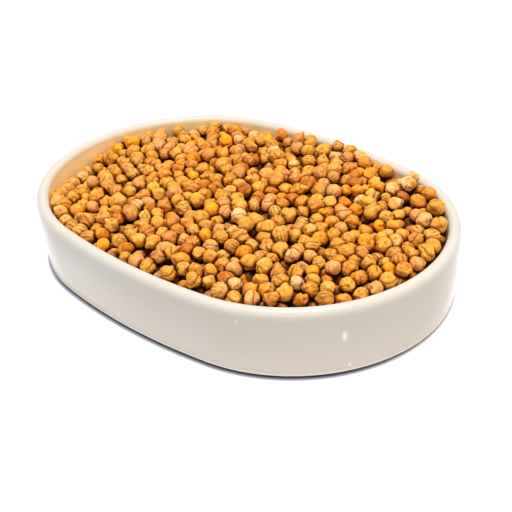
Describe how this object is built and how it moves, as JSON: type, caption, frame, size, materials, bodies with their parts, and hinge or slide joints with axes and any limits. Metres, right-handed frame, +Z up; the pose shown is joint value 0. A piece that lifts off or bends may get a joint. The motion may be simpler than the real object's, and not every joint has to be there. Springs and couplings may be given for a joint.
{
  "type": "dish of dried chickpeas",
  "caption": "White glazed oval dish with upright walls, a rounded rim and a recessed foot, heaped with dried chickpeas that lie lower at one end.",
  "frame": {"origin": "on the table, under the middle of the dish", "axes": "+X along the dish towards the end where the chickpeas lie higher, +Y across it, +Z up"},
  "size_m": [0.24, 0.17, 0.0457],
  "materials": {
    "glaze": "gloss",
    "chickpea": "matte"
  },
  "bodies": {
    "root": {"dish": "glaze", "chickpeas": "chickpea"}
  },
  "joints": []
}
